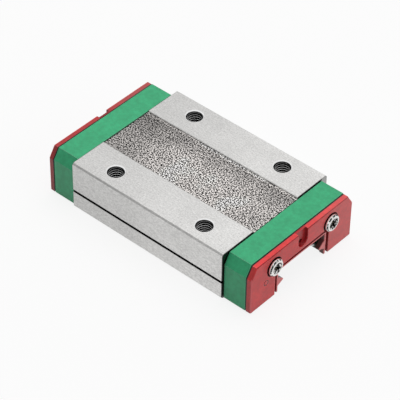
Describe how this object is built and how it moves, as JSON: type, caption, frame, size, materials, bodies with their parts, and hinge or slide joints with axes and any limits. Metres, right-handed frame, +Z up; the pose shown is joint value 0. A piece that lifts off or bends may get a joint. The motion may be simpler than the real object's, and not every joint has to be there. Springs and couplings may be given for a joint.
{
  "type": "linear bearing block",
  "caption": "Miniature guide block with recirculating balls, a ground steel body with threaded mounting holes, green end caps and red end seals.",
  "frame": {"origin": "middle of the steel block on its bottom face, which is the middle of the whole block's base", "axes": "+X along the rail towards the front end, +Y across to the left side, +Z up, out of the mounting face"},
  "size_m": [0.0472, 0.027, 0.01],
  "materials": {
    "block_steel": "ground, with a blasted recess in the top",
    "cap_green": "moulded, satin",
    "seal_red": "moulded, satin",
    "screw_chrome": "polished",
    "guide_plastic": "moulded",
    "wire_steel": "drawn wire",
    "ball_steel": "polished"
  },
  "bodies": {
    "carriage": {"block": "block_steel", "end_cap_front": "cap_green", "end_cap_rear": "cap_green", "end_seal_front": "seal_red", "end_seal_rear": "seal_red", "screw_front_left": "screw_chrome", "screw_front_right": "screw_chrome", "screw_rear_left": "screw_chrome", "screw_rear_right": "screw_chrome", "return_guide_front_left": "guide_plastic", "return_guide_front_right": "guide_plastic", "return_guide_rear_left": "guide_plastic", "return_guide_rear_right": "guide_plastic", "retainer_wire_left": "wire_steel", "retainer_wire_right": "wire_steel"},
    "loaded_row_left": {"load_balls_left": "ball_steel"},
    "return_row_left": {"return_balls_left": "ball_steel"},
    "front_turn_left": {"turn_balls_front_left": "ball_steel"},
    "rear_turn_left": {"turn_balls_rear_left": "ball_steel"},
    "loaded_row_right": {"load_balls_right": "ball_steel"},
    "return_row_right": {"return_balls_right": "ball_steel"},
    "front_turn_right": {"turn_balls_front_right": "ball_steel"},
    "rear_turn_right": {"turn_balls_rear_right": "ball_steel"}
  },
  "joints": [
    {"name": "circuit_left", "type": "slide", "parent": "carriage", "child": "loaded_row_left", "axis": [1, 0, 0], "range_m": [-0.00121, 0.00121]},
    {"name": "return_left", "type": "slide", "parent": "carriage", "child": "return_row_left", "axis": [1, 0, 0], "range_m": [-0.00121, 0.00121]},
    {"name": "front_turn_left", "type": "hinge", "parent": "carriage", "child": "front_turn_left", "pos_m": [0.017, 0.00845, 0.00245], "axis": [0, 0, 1], "range_deg": [-30, 30]},
    {"name": "rear_turn_left", "type": "hinge", "parent": "carriage", "child": "rear_turn_left", "pos_m": [-0.017, 0.00845, 0.00245], "axis": [0, 0, 1], "range_deg": [-30, 30]},
    {"name": "circuit_right", "type": "slide", "parent": "carriage", "child": "loaded_row_right", "axis": [1, 0, 0], "range_m": [-0.00121, 0.00121]},
    {"name": "return_right", "type": "slide", "parent": "carriage", "child": "return_row_right", "axis": [1, 0, 0], "range_m": [-0.00121, 0.00121]},
    {"name": "front_turn_right", "type": "hinge", "parent": "carriage", "child": "front_turn_right", "pos_m": [0.017, -0.00845, 0.00245], "axis": [0, 0, 1], "range_deg": [-30, 30]},
    {"name": "rear_turn_right", "type": "hinge", "parent": "carriage", "child": "rear_turn_right", "pos_m": [-0.017, -0.00845, 0.00245], "axis": [0, 0, 1], "range_deg": [-30, 30]}
  ],
  "couplings": [
    {"joint": "return_left", "follows": "circuit_left", "ratio": -1},
    {"joint": "front_turn_left", "follows": "circuit_left", "rad_per_m": 431.2},
    {"joint": "rear_turn_left", "follows": "circuit_left", "rad_per_m": 431.2},
    {"joint": "return_right", "follows": "circuit_right", "ratio": -1},
    {"joint": "front_turn_right", "follows": "circuit_right", "rad_per_m": -431.2},
    {"joint": "rear_turn_right", "follows": "circuit_right", "rad_per_m": -431.2}
  ]
}
